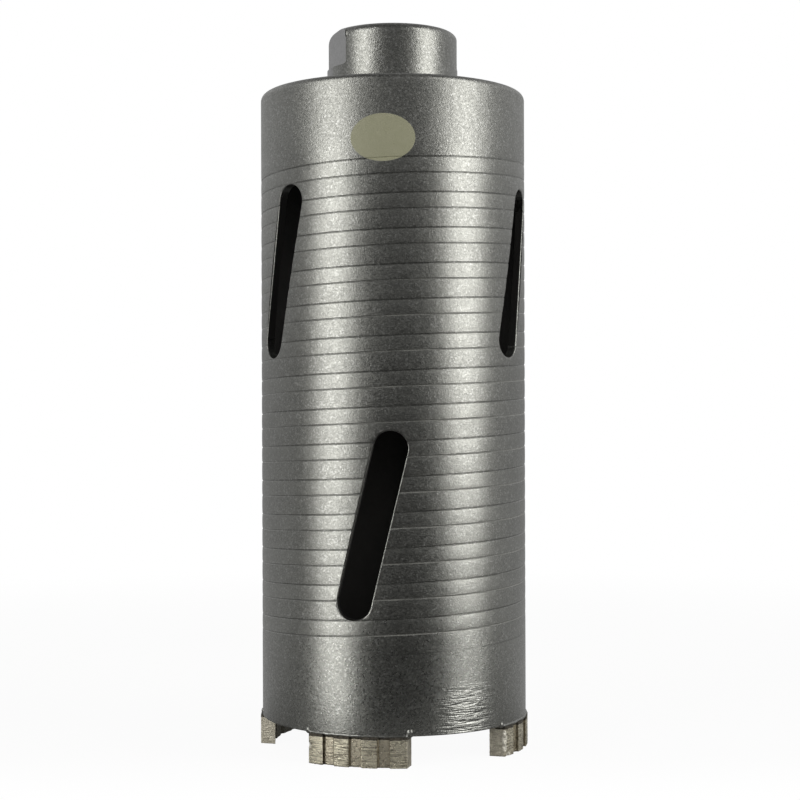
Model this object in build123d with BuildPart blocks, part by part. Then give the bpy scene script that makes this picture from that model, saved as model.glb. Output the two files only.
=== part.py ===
"""Dry diamond core bit, 65 mm cutting diameter by 150 mm drilling depth.

Three kinds of piece, all on the Z axis, which is the axis of rotation:
  barrel        one steel tube with six slanted dust slots and a rounded top edge
  hub           turned end piece: flange inside the tube, boss with spanner flats, G 1/2 thread bore
  segment_1..4  ribbed diamond segments brazed to the barrel's bottom rim

The bit stands on its segments: Z = 0 is their cutting face, and the hub is on top. An azimuth is
measured from the -Y axis, positive towards +X. Lengths are in millimetres, angles in degrees.
"""

from build123d import *
import os
from math import cos, radians, sin

# ---- Segments ----
cutting_diameter = 65.0  # across the ribs' outer faces
outer_clearance = 0.5  # the segments stand proud of the barrel by this much, all round
inner_clearance = 1.0  # and inside it by this much, so that the core runs free
segment_count = 4
segment_length = 23.5  # between the two parallel ends
segment_height = 7.1
first_segment_azimuth = -16.5
rib_count = 4
rib_width = 3.8
rib_height = 0.8  # how far the ribs stand out of the segment's outer face
inner_channel_width = 2.2
inner_channel_depth = 0.5
segment_edge_radius = 0.3  # on the upright edges of the two ends

# ---- Barrel ----
barrel_wall = 2.0
barrel_length = 150.0
barrel_top_radius = 1.6

# ---- Dust slots, cut square through the wall ----
slot_count = 3  # in each of the two rows
slot_width = 8.0
slot_slant = 13.5  # from upright, leaning towards positive azimuth at the top
lower_slot_length = 44.0  # over the round ends
lower_slot_height = 47.6  # its middle, above the barrel's bottom rim
lower_slot_azimuth = -9.0
upper_slot_length = 41.0
upper_slot_height = 106.0
upper_slot_azimuth = -55.2

# ---- Hub ----
boss_diameter = 31.7
boss_height = 15.0
boss_edge_radius = 2.0
boss_foot_bevel = 0.8
flange_thickness = 7.1
flange_clearance = 0.05  # round the flange, inside the tube
across_flats = 28.0
flat_azimuth = -72.0  # the middle of the first of two opposite flats
flat_height = 6.0  # where the flats end, above the flange

# ---- Thread: G 1/2 (1/2 inch BSP), bored to its minor diameter ----
thread_major_diameter = 20.955
thread_minor_diameter = 18.631
thread_lead_in = 0.3  # the countersink's mouth is wider than the thread by this much all round

# ---- Worked out from the sizes above ----
cutting_radius = cutting_diameter / 2
barrel_radius = cutting_radius - outer_clearance
bore_radius = barrel_radius - barrel_wall
core_radius = bore_radius - inner_clearance
segment_thickness = cutting_radius - core_radius
rim_z = segment_height
barrel_top_z = rim_z + barrel_length
boss_radius = boss_diameter / 2
boss_top_z = barrel_top_z + boss_height
flange_bottom_z = barrel_top_z - flange_thickness
thread_radius = thread_minor_diameter / 2
countersink_radius = thread_major_diameter / 2 + thread_lead_in
countersink_depth = countersink_radius - thread_radius
rib_pitch = (segment_length - rib_width) / (rib_count - 1)

os.makedirs("parts", exist_ok=True)


def outward_plane(azimuth, distance, height):
    """Plane square to the radius at an azimuth: its x runs round the barrel and its y runs up."""
    angle = radians(azimuth)
    outward = Vector(sin(angle), -cos(angle), 0)
    return Plane(
        origin=outward * distance + Vector(0, 0, height),
        x_dir=(cos(angle), sin(angle), 0),
        z_dir=outward,
    )


def slot_planes(azimuth, height):
    """Planes on the barrel's skin for one row of slots, evenly spaced round it."""
    turn = 360 / slot_count
    return [outward_plane(azimuth + i * turn, barrel_radius, height) for i in range(slot_count)]


# ---- Barrel: turned tube with two rows of slots ----
with BuildPart() as barrel:
    with BuildSketch(Plane.XY.offset(rim_z)):
        Circle(barrel_radius)
        Circle(bore_radius, mode=Mode.SUBTRACT)
    extrude(amount=barrel_length)
    fillet(barrel.edges().group_by(Axis.Z)[-1].sort_by(SortBy.RADIUS)[-1], barrel_top_radius)

    slot_rows = [
        (lower_slot_length, slot_planes(lower_slot_azimuth, rim_z + lower_slot_height)),
        (upper_slot_length, slot_planes(upper_slot_azimuth, rim_z + upper_slot_height)),
    ]
    for slot_length, planes in slot_rows:
        with BuildSketch(*planes):
            SlotOverall(slot_length, slot_width, rotation=90 - slot_slant)
        extrude(amount=-barrel_radius / 2, mode=Mode.SUBTRACT)

barrel.part.label = "barrel"
export_step(barrel.part, "parts/barrel.step")

# ---- Hub: turned in one piece, then bored, threaded and milled for a spanner ----
with BuildPart() as hub:
    flange_radius = bore_radius - flange_clearance
    with BuildSketch(Plane.XY.offset(flange_bottom_z)):
        Circle(flange_radius)
    extrude(amount=flange_thickness)
    with BuildSketch(Plane.XY.offset(barrel_top_z)):
        Circle(boss_radius)
    extrude(amount=boss_height)
    fillet(hub.faces().sort_by(Axis.Z)[-1].edges(), boss_edge_radius)
    foot = hub.edges().filter_by(GeomType.CIRCLE).filter_by_position(Axis.Z, barrel_top_z, barrel_top_z)
    chamfer(foot.sort_by(SortBy.RADIUS)[0], boss_foot_bevel)

    with BuildSketch(Plane.XY.offset(barrel_top_z + flat_height)):
        with PolarLocations(across_flats / 2 + boss_radius, 2, start_angle=flat_azimuth - 90):
            Rectangle(2 * boss_radius, 2 * boss_diameter)
    extrude(amount=boss_height, mode=Mode.SUBTRACT)

    with Locations((0, 0, boss_top_z)):
        Hole(thread_radius)
    end_faces = hub.faces().filter_by(GeomType.PLANE).sort_by(Axis.Z)
    mouths = end_faces[0].inner_wires()[0].edges() + end_faces[-1].inner_wires()[0].edges()
    chamfer(mouths, countersink_depth)

hub.part.label = "hub"
export_step(hub.part, "parts/hub.step")


def make_segment(azimuth):
    """One ribbed segment, its middle at the given azimuth, standing on Z = 0 under the barrel's rim."""
    base = Plane.XY.rotated((0, 0, azimuth))
    middle = (0, -(cutting_radius + core_radius) / 2)
    depth = 3 * segment_thickness  # of the rectangles that the arcs trim
    channel_floor_radius = cutting_radius - rib_height
    with BuildPart() as segment:
        # Body between the parallel ends, up to the floor of the channels between the ribs
        with BuildSketch(base):
            with Locations(middle):
                Rectangle(segment_length, depth)
            Circle(channel_floor_radius, mode=Mode.INTERSECT)
            Circle(core_radius, mode=Mode.SUBTRACT)
        extrude(amount=segment_height)
        # Ribs on the outer face, the first and last flush with the ends
        with BuildSketch(base):
            with Locations(middle):
                with GridLocations(rib_pitch, 0, rib_count, 1):
                    Rectangle(rib_width, depth)
            Circle(cutting_radius, mode=Mode.INTERSECT)
            Circle(core_radius, mode=Mode.SUBTRACT)
        extrude(amount=segment_height)
        # Shallow channels in the inner face, behind the gaps between the ribs
        with BuildSketch(base):
            with Locations(middle):
                with GridLocations(rib_pitch, 0, rib_count - 1, 1):
                    Rectangle(inner_channel_width, depth)
            Circle(core_radius + inner_channel_depth, mode=Mode.INTERSECT)
        extrude(amount=segment_height, mode=Mode.SUBTRACT)
        # Upright corners of the two ends
        uprights = segment.edges().filter_by(Axis.Z).sort_by(Axis((0, 0, 0), base.x_dir))
        fillet(uprights[:2] + uprights[-2:], segment_edge_radius)
    return segment


# ---- Segments: equally spaced round the rim ----
for index in range(segment_count):
    segment = make_segment(first_segment_azimuth + index * 360 / segment_count)
    segment.part.label = f"segment_{index + 1}"
    export_step(segment.part, f"parts/segment_{index + 1}.step")
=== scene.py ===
"""Diamond core bit: finishes, fine relief and studio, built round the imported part.

The bit stands upright on its segments. Z = 0 is their cutting face, the hub is on top, and the
front faces -Y. An azimuth is measured from -Y, positive towards +X. Blender works in metres, so
sizes are written in millimetres times MM, and angles are written in degrees.
"""

import logging
import math
import random
from collections.abc import Callable, Iterator, Sequence
from contextlib import contextmanager
from dataclasses import dataclass, replace
from enum import Enum

import bmesh
import bpy
from mathutils import Matrix, Vector

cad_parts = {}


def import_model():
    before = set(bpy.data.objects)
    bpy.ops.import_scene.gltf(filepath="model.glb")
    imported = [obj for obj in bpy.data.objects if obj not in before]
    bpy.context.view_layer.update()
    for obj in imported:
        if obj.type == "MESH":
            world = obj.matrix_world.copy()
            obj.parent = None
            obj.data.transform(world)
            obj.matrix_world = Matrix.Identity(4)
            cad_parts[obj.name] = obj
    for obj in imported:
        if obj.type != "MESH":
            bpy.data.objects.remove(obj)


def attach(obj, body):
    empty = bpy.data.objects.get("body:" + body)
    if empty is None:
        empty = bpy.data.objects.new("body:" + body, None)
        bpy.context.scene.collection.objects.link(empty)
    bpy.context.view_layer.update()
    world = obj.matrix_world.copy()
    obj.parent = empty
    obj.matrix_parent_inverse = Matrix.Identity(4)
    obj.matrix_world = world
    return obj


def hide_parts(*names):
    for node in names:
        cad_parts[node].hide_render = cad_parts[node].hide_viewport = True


MM = 0.001
NEAR = 0.002 * MM
TAU = 2 * math.pi
LOG = logging.getLogger("core_bit")
BODY = "root"

Number = "float | Wire"
Colour = tuple[float, float, float, float]
Span = tuple[float, float]
Triple = Sequence[float]
Break = tuple[Vector, float]


def around(azimuth: float, radius: float, height: float) -> Vector:
    """Point at an azimuth in degrees, a distance from the axis and a height."""
    turn = math.radians(azimuth)
    return Vector((radius * math.sin(turn), -radius * math.cos(turn), height))


def azimuth_of(point: Vector) -> float:
    """Azimuth of a point in degrees, from -180 to 180."""
    return math.degrees(math.atan2(point.x, -point.y))


def distance_of(point: Vector) -> float:
    """Distance of a point from the axis of rotation."""
    return math.hypot(point.x, point.y)


def level_with(height: float, *points: Vector) -> bool:
    """Whether all the points are at a height."""
    return all(abs(point.z - height) < NEAR for point in points)


def eased(value: float) -> float:
    """Smooth step from 0 to 1, flat outside that range."""
    held = min(1.0, max(0.0, value))
    return held * held * (3 - 2 * held)


def arc(centre: Span, radius: float, start: float, end: float, steps: int) -> list[Span]:
    """Points of an arc in a radius-height profile.

    Args:
        centre: Radius and height of its centre.
        radius: Its radius.
        start: Angle of its first point in degrees, from outwards, positive upwards.
        end: Angle of its last point.
        steps: Number of edges.

    Returns:
        Radius and height of each point.
    """
    turns = [math.radians(start + (end - start) * i / steps) for i in range(steps + 1)]
    return [(centre[0] + radius * math.cos(t), centre[1] + radius * math.sin(t)) for t in turns]


class Slot(Enum):
    """Material slots of the part's record."""

    BARREL = "barrel_paint"
    HUB = "hub_paint"
    SEGMENT = "diamond_matrix"


# ---------------------------------------------------------------- mesh work


class Workpiece:
    """A mesh on the bench, with the operations that shape it."""

    def __init__(self, shape: bpy.types.Object) -> None:
        """Takes an object and moves its place, turn and scale into its mesh.

        Args:
            shape: The mesh object.
        """
        self.shape = shape
        self.pick_object()
        bpy.ops.object.transform_apply(location=True, rotation=True, scale=True)

    @classmethod
    def primitive(cls, name: str, kind: str, **sizes: object) -> "Workpiece":
        """Starts from one of Blender's primitives.

        Args:
            name: Name of the object.
            kind: Name of the primitive, such as "cube".
            **sizes: Settings of the operator that adds it.

        Returns:
            The new workpiece.
        """
        bpy.ops.object.select_all(action="DESELECT")
        getattr(bpy.ops.mesh, f"primitive_{kind}_add")(**sizes)
        shape = bpy.context.object
        shape.name = shape.data.name = name
        return cls(shape)

    @classmethod
    def outline(cls, name: str, points: Sequence[Vector]) -> "Workpiece":
        """Draws an open line of edges by extruding one vertex from point to point.

        Args:
            name: Name of the object.
            points: Where the line goes.

        Returns:
            The new workpiece.
        """
        piece = cls.primitive(name, "plane", size=MM, location=points[0])
        with piece.editing():
            piece.pick_all()
            bpy.ops.mesh.merge(type="CENTER")
            for here, there in zip(points, points[1:]):
                piece.draw_out(there - here)
        return piece

    def pick_object(self) -> None:
        """Makes this the only selected object, and the active one."""
        bpy.ops.object.select_all(action="DESELECT")
        self.shape.select_set(True)
        bpy.context.view_layer.objects.active = self.shape

    @contextmanager
    def editing(self, elements: str = "VERT") -> Iterator[None]:
        """Edit mode with nothing selected, left again at the end.

        Args:
            elements: What is selected: VERT, EDGE or FACE.

        Yields:
            Nothing.
        """
        self.pick_object()
        bpy.ops.object.mode_set(mode="EDIT")
        bpy.ops.mesh.select_mode(type=elements)
        bpy.ops.mesh.select_all(action="DESELECT")
        yield
        bpy.ops.object.mode_set(mode="OBJECT")

    # The next seven work in edit mode.

    @staticmethod
    def pick_all() -> None:
        """Selects the whole mesh."""
        bpy.ops.mesh.select_all(action="SELECT")

    def pick_vertices(self, test: Callable[[Vector], bool]) -> None:
        """Selects just some vertices.

        Args:
            test: Whether a vertex is one of them, from its place.
        """
        mesh = bmesh.from_edit_mesh(self.shape.data)
        for vertex in mesh.verts:
            vertex.select = test(vertex.co)
        mesh.select_flush_mode()
        bmesh.update_edit_mesh(self.shape.data)

    def pick_edges(self, test: Callable[[Vector, Vector], bool]) -> None:
        """Selects just some edges.

        Args:
            test: Whether an edge is one of them, from the places of its two ends.
        """
        mesh = bmesh.from_edit_mesh(self.shape.data)
        bpy.ops.mesh.select_all(action="DESELECT")
        for edge in mesh.edges:
            if test(*(vertex.co for vertex in edge.verts)):
                edge.select_set(True)
        bmesh.update_edit_mesh(self.shape.data)

    @staticmethod
    def draw_out(offset: Triple) -> None:
        """Extrudes what is selected."""
        bpy.ops.mesh.extrude_region_move(TRANSFORM_OT_translate={"value": tuple(offset)})

    def run_on(self, path: Sequence[Span]) -> None:
        """Extrudes the selected ring of edges along a profile.

        Args:
            path: Radius and height at each step; the first is where the ring is now.
        """
        for (radius, height), (next_radius, next_height) in zip(path, path[1:]):
            rise = {"value": (0, 0, next_height - height)}
            bpy.ops.mesh.extrude_edges_move(TRANSFORM_OT_translate=rise)
            growth = next_radius / radius
            bpy.ops.transform.resize(value=(growth, growth, 1), center_override=(0, 0, 0))

    def merge(self, reach: float) -> None:
        """Merges all vertices that lie closer than a distance."""
        self.pick_all()
        bpy.ops.mesh.remove_doubles(threshold=reach)

    def trim(self, place: Triple, outwards: Triple, fill: bool = True) -> None:
        """Cuts off all that lies beyond a plane.

        Args:
            place: A point of the plane.
            outwards: Its normal, towards what goes.
            fill: Whether a face closes the cut.
        """
        self.pick_all()
        bpy.ops.mesh.bisect(
            plane_co=tuple(place), plane_no=tuple(outwards), clear_outer=True, use_fill=fill,
            threshold=NEAR / 10,
        )

    # The rest works in object mode.

    def modify(self, kind: str, **settings: object) -> None:
        """Adds a modifier and applies it.

        Args:
            kind: Type of the modifier.
            **settings: Its settings.
        """
        self.pick_object()
        modifier = self.shape.modifiers.new(kind.title(), kind)
        for name, value in settings.items():
            setattr(modifier, name, value)
        bpy.ops.object.modifier_apply(modifier=modifier.name)

    def wind(self, lead: float, turns: int, steps: int) -> None:
        """Winds an outline up the axis into a helical skin.

        Args:
            lead: Rise of one turn.
            turns: Number of turns.
            steps: Number of faces round one turn.
        """
        self.modify(
            "SCREW", axis="Z", angle=TAU, screw_offset=lead, iterations=turns, steps=steps,
            render_steps=steps, use_merge_vertices=True, merge_threshold=NEAR / 2,
        )
        with self.editing():
            self.merge(NEAR)

    def melt(self, voxel: float, passes: int) -> None:
        """Makes one even skin of what overlaps and rounds its edges.

        Args:
            voxel: Size of its faces.
            passes: How often it is smoothed.
        """
        self.modify("REMESH", mode="VOXEL", voxel_size=voxel)
        self.modify("SMOOTH", factor=0.5, iterations=passes)

    def cut(self, *tools: "Workpiece") -> None:
        """Cuts this piece with others, which are used up.

        Args:
            *tools: Closed shapes to take away.
        """
        for tool in tools:
            self.modify("BOOLEAN", operation="DIFFERENCE", solver="EXACT", object=tool.shape)
            bpy.data.objects.remove(tool.shape)

    def join(self, *others: "Workpiece") -> None:
        """Takes other pieces into this one.

        Args:
            *others: The pieces, which are used up.
        """
        self.pick_object()
        for other in others:
            other.shape.select_set(True)
        bpy.ops.object.join()

    def weigh(self, name: str, rule: Callable[[Vector], float]) -> str:
        """Gives the vertices weights for a modifier.

        Args:
            name: Name of the vertex group.
            rule: Weight of a vertex, from its place.

        Returns:
            The name of the group.
        """
        group = self.shape.vertex_groups.new(name=name)
        for vertex in self.shape.data.vertices:
            group.add([vertex.index], rule(vertex.co), "REPLACE")
        return name

    def turned(self, azimuth: float) -> "Workpiece":
        """Turns the piece about the axis of rotation.

        Args:
            azimuth: By how many degrees.

        Returns:
            This piece.
        """
        self.shape.rotation_euler.z = math.radians(azimuth)
        self.pick_object()
        bpy.ops.object.transform_apply(location=False, rotation=True, scale=False)
        return self

    def copy(self, name: str) -> "Workpiece":
        """A copy with its own mesh.

        Args:
            name: Name of the copy.

        Returns:
            The new workpiece.
        """
        twin = self.shape.copy()
        twin.data = self.shape.data.copy()
        twin.name = twin.data.name = name
        bpy.context.scene.collection.objects.link(twin)
        return Workpiece(twin)

    def face_outwards(self) -> None:
        """Merges doubles, then points every face outwards."""
        with self.editing():
            self.merge(NEAR / 4)
            bpy.ops.mesh.normals_make_consistent(inside=False)

    def polish(self, angle: float, weighted: bool = True) -> None:
        """Smooths the shading except across sharp edges.

        Args:
            angle: The smallest angle of a sharp edge, in degrees.
            weighted: Whether large faces keep flat next to small ones.
        """
        self.pick_object()
        bpy.ops.object.shade_smooth_by_angle(angle=math.radians(angle))
        if weighted:
            self.modify("WEIGHTED_NORMAL", keep_sharp=True, weight=80)

    def roughen(self, size: float, height: float, seed: float) -> None:
        """Presses cloud-like relief into the surface, hardly outwards.

        Args:
            size: Size of the lumps, in metres.
            height: Depth of the hollows between them, in metres.
            seed: Shifts the pattern, so that no two pieces have the same one.
        """
        clouds = bpy.data.textures.new("relief", "CLOUDS")
        clouds.noise_scale = size
        clouds.noise_depth = 2
        place = bpy.data.objects.new("relief_place", None)
        bpy.context.scene.collection.objects.link(place)
        place.location = (seed, 2 * seed, 3 * seed)
        bpy.context.view_layer.update()
        self.modify(
            "DISPLACE", texture=clouds, texture_coords="OBJECT", texture_coords_object=place,
            strength=height, mid_level=0.95, direction="NORMAL",
        )
        bpy.data.objects.remove(place)

    def dress(
        self, coats: Sequence[bpy.types.Material], rule: Callable[[Vector, Vector], int] | None = None
    ) -> None:
        """Gives the piece its finishes.

        Args:
            coats: The materials.
            rule: Number of the material of a face, from its middle and normal. Without a rule
                every face takes the first.
        """
        self.shape.data.materials.clear()
        for coat in coats:
            self.shape.data.materials.append(coat)
        for face in self.shape.data.polygons:
            face.material_index = rule(face.center, face.normal) if rule else 0

    def hand_over(self, slot: Slot, *nodes: str) -> None:
        """Fixes the finished piece to the part.

        Args:
            slot: Not used.
            *nodes: CAD nodes that it stands for.
        """
        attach(self.shape, BODY)
        if nodes:
            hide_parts(*nodes)
        LOG.info("%s: %d faces", self.shape.name, len(self.shape.data.polygons))


# ---------------------------------------------------------------- shader work


class Wire:
    """One output socket, so that shader maths reads as plain expressions."""

    def __init__(self, graph: "Graph", socket: bpy.types.NodeSocket) -> None:
        """Wraps a socket of a graph."""
        self.graph = graph
        self.socket = socket

    def maths(self, operation: str, *values: Number) -> "Wire":
        """Adds a Math node.

        Args:
            operation: What the node does.
            *values: Its inputs, in order.

        Returns:
            Its result.
        """
        inputs = dict(enumerate(values))
        return self.graph.node("ShaderNodeMath", {"operation": operation}, inputs)

    def __add__(self, other: Number) -> "Wire":
        """Sum."""
        return self.maths("ADD", self, other)

    def __sub__(self, other: Number) -> "Wire":
        """Difference."""
        return self.maths("SUBTRACT", self, other)

    def __rsub__(self, other: Number) -> "Wire":
        """Reflected difference."""
        return self.maths("SUBTRACT", other, self)

    def __mul__(self, other: Number) -> "Wire":
        """Product."""
        return self.maths("MULTIPLY", self, other)

    def __truediv__(self, other: Number) -> "Wire":
        """Quotient."""
        return self.maths("DIVIDE", self, other)

    __radd__ = __add__
    __rmul__ = __mul__

    def size(self) -> "Wire":
        """Its value without its sign."""
        return self.maths("ABSOLUTE", self)

    def most(self, other: Number) -> "Wire":
        """The larger of two values."""
        return self.maths("MAXIMUM", self, other)

    def part(self) -> "Wire":
        """What is left after whole numbers are taken away."""
        return self.maths("FRACT", self)

    def ramp(self, low: float, high: float) -> "Wire":
        """Smooth step from 0 to 1.

        Args:
            low: Where it is 0; it may be the larger of the two.
            high: Where it is 1.

        Returns:
            The step.
        """
        if low > high:
            return 1 - self.ramp(high, low)
        return self.graph.node(
            "ShaderNodeMapRange",
            {"interpolation_type": "SMOOTHSTEP"},
            {"Value": self, "From Min": low, "From Max": high},
        )


class Graph:
    """The node tree of one material or world."""

    def __init__(self, tree: bpy.types.NodeTree) -> None:
        """Empties a tree to build in it."""
        self.tree = tree
        tree.nodes.clear()

    @classmethod
    def material(cls, name: str) -> tuple["Graph", bpy.types.Material]:
        """Makes a material.

        Args:
            name: Its name.

        Returns:
            Its graph and the material.
        """
        made = bpy.data.materials.new(name)
        made.use_nodes = True
        return cls(made.node_tree), made

    def node(
        self,
        kind: str,
        settings: dict[str, object] | None = None,
        inputs: dict[int | str, object] | None = None,
        output: int | str = 0,
    ) -> Wire | None:
        """Adds any node.

        Args:
            kind: Type of the node.
            settings: Its settings, set first; "stops" are those of a ramp.
            inputs: Values or wires for its sockets, by name or number.
            output: The socket that is returned.

        Returns:
            The wire of its output, if it has one.
        """
        made = self.tree.nodes.new(kind)
        for name, value in (settings or {}).items():
            if name == "stops":
                self._set_stops(made.color_ramp, value)
            else:
                setattr(made, name, value)
        for name, value in (inputs or {}).items():
            if isinstance(value, Wire):
                self.tree.links.new(value.socket, made.inputs[name])
            else:
                made.inputs[name].default_value = value
        return Wire(self, made.outputs[output]) if made.outputs else None

    @staticmethod
    def _set_stops(ramp: bpy.types.ColorRamp, stops: Sequence[tuple[float, Colour]]) -> None:
        """Gives a ramp its stops.

        Args:
            ramp: The new ramp, which has two stops.
            stops: Place and colour of each.
        """
        for index, (place, colour) in enumerate(stops):
            stop = ramp.elements[index] if index < 2 else ramp.elements.new(place)
            stop.position = place
            stop.color = colour

    def place(self, stretch: float = 1.0, at: Triple = (0, 0, 0), kind: str = "Object") -> Wire:
        """Coordinates on the surface.

        Args:
            stretch: How much finer a pattern on them is along Z.
            at: How far they are shifted.
            kind: Which coordinates they are.

        Returns:
            The coordinates.
        """
        where = self.node("ShaderNodeTexCoord", output=kind)
        inputs = {"Vector": where, "Scale": (1, 1, stretch), "Location": tuple(at)}
        return self.node("ShaderNodeMapping", inputs=inputs)

    def axes(self, kind: str = "Object") -> list[Wire]:
        """Coordinates as three values.

        Args:
            kind: Which coordinates they are.

        Returns:
            X, Y and Z.
        """
        split = self.node("ShaderNodeSeparateXYZ", inputs={0: self.place(kind=kind)})
        return [Wire(self, socket) for socket in split.socket.node.outputs]

    def noise(
        self, size: float, detail: float = 2.0, rough: float = 0.5, stretch: float = 1.0
    ) -> Wire:
        """Noise from 0 to 1.

        Args:
            size: Size of its lumps, in metres.
            detail: How many times finer lumps are added.
            rough: How strong the finer lumps are.
            stretch: How much finer it is along Z.

        Returns:
            The noise.
        """
        place = self.place(stretch)
        inputs = {"Vector": place, "Scale": 1 / size, "Detail": detail, "Roughness": rough}
        return self.node("ShaderNodeTexNoise", inputs=inputs, output="Fac")

    def cells(self, size: float, at: Triple = (0, 0, 0)) -> Wire:
        """A random value from 0 to 1 for each small cell, as for flakes.

        Args:
            size: Size of a cell, in metres.
            at: How far the cells are shifted.

        Returns:
            The value.
        """
        inputs = {"Vector": self.place(at=at), "Scale": 1 / size}
        cell = self.node("ShaderNodeTexVoronoi", inputs=inputs, output="Color")
        return self.node("ShaderNodeSeparateColor", inputs={0: cell})

    def blend(self, share: Number, first: object, second: object) -> Wire:
        """Mixes two colours; the share is that of the second."""
        inputs = {0: share, 6: first, 7: second}
        return self.node("ShaderNodeMix", {"data_type": "RGBA"}, inputs, output=2)

    def bump(self, height: Wire, distance: float, below: Wire | None = None) -> Wire:
        """A normal from a height.

        Args:
            height: The height, from 0 to 1.
            distance: What a height of 1 stands for, in metres.
            below: A normal that this one lies on.

        Returns:
            The normal.
        """
        inputs = {"Height": height, "Distance": distance, "Strength": 1.0}
        if below is not None:
            inputs["Normal"] = below
        return self.node("ShaderNodeBump", inputs=inputs)

    def rays(self, *kinds: str) -> list[Wire]:
        """For each kind of ray, 1 where such a ray arrives and 0 elsewhere."""
        return [self.node("ShaderNodeLightPath", output=f"Is {kind} Ray") for kind in kinds]

    def finish(self, **inputs: object) -> None:
        """Ends the graph in a Principled BSDF.

        Args:
            **inputs: Values or wires for its sockets, named with _ for a space.
        """
        named = {name.replace("_", " "): value for name, value in inputs.items()}
        shader = self.node("ShaderNodeBsdfPrincipled", inputs=named)
        self.node("ShaderNodeOutputMaterial", inputs={"Surface": shader})


def grey(level: float, warmth: float = 0.0) -> Colour:
    """A grey, a little warmer or, below 0, cooler."""
    return (level * (1 + warmth), level, level * (1 - warmth), 1.0)


@dataclass(frozen=True)
class Spiral:
    """The two lines turned side by side round the barrel, heights above the rim."""

    lead: float = 8.021 * MM
    first_line: float = 10.47 * MM
    gap: float = 4.44 * MM
    ends: tuple[Span, Span] = ((21.2 * MM, 134.0 * MM), (18.9 * MM, 131.4 * MM))


# ---------------------------------------------------------------- finishes


@dataclass(frozen=True)
class MetallicPaint:
    """Silver paint with fine aluminium flakes, sandy to the touch."""

    name: str
    dark: Colour = (0.205, 0.206, 0.197, 1.0)
    light: Colour = (0.355, 0.357, 0.338, 1.0)
    flake_size: float = 0.22 * MM
    flake_share: float = 0.7
    cloud_size: float = 6.0 * MM
    glint: Colour = grey(0.8)
    glint_size: float = 0.352 * MM
    glint_shift: Triple = (0.3, 0.1, 0.2)
    glint_limits: Span = (0.8, 0.95)
    sparkle: float = 0.22
    grain_size: float = 0.32 * MM
    grain_height: float = 0.038 * MM
    swell_size: float = 2.2 * MM
    swell_height: float = 0.02 * MM
    roughness: float = 0.35
    roughness_size: float = 0.308 * MM
    roughness_shift: Triple = (0.1, 0.2, 0.3)
    roughness_spread: float = 0.14
    metallic: float = 0.97

    def relief(self, graph: Graph) -> Wire:
        """Sand-like grain over a slow swell.

        Args:
            graph: The material's graph.

        Returns:
            The normal.
        """
        swell = graph.bump(graph.noise(self.swell_size), self.swell_height)
        grain = graph.noise(self.grain_size, detail=1.5)
        return graph.bump(grain, self.grain_height, swell)

    def colour(self, graph: Graph) -> Wire:
        """Flakes of lighter and darker silver, a few of them bright.

        Args:
            graph: The material's graph.

        Returns:
            The colour.
        """
        flakes = graph.cells(self.flake_size)
        cloud = graph.noise(self.cloud_size, detail=3.0)
        share = flakes * self.flake_share + cloud * (1 - self.flake_share)
        base = graph.blend(share, self.dark, self.light)
        glints = graph.cells(self.glint_size, self.glint_shift)
        return graph.blend(glints.ramp(*self.glint_limits) * self.sparkle, base, self.glint)

    def sheen(self, graph: Graph) -> Wire:
        """Roughness that changes from flake to flake."""
        flakes = graph.cells(self.roughness_size, self.roughness_shift)
        return self.roughness + self.roughness_spread * (flakes - 0.5)

    def make(self) -> bpy.types.Material:
        """Builds the material.

        Returns:
            The material.
        """
        graph, made = Graph.material(self.name)
        graph.finish(
            Base_Color=self.colour(graph), Metallic=self.metallic,
            Roughness=self.sheen(graph), Normal=self.relief(graph),
        )
        return made


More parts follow.
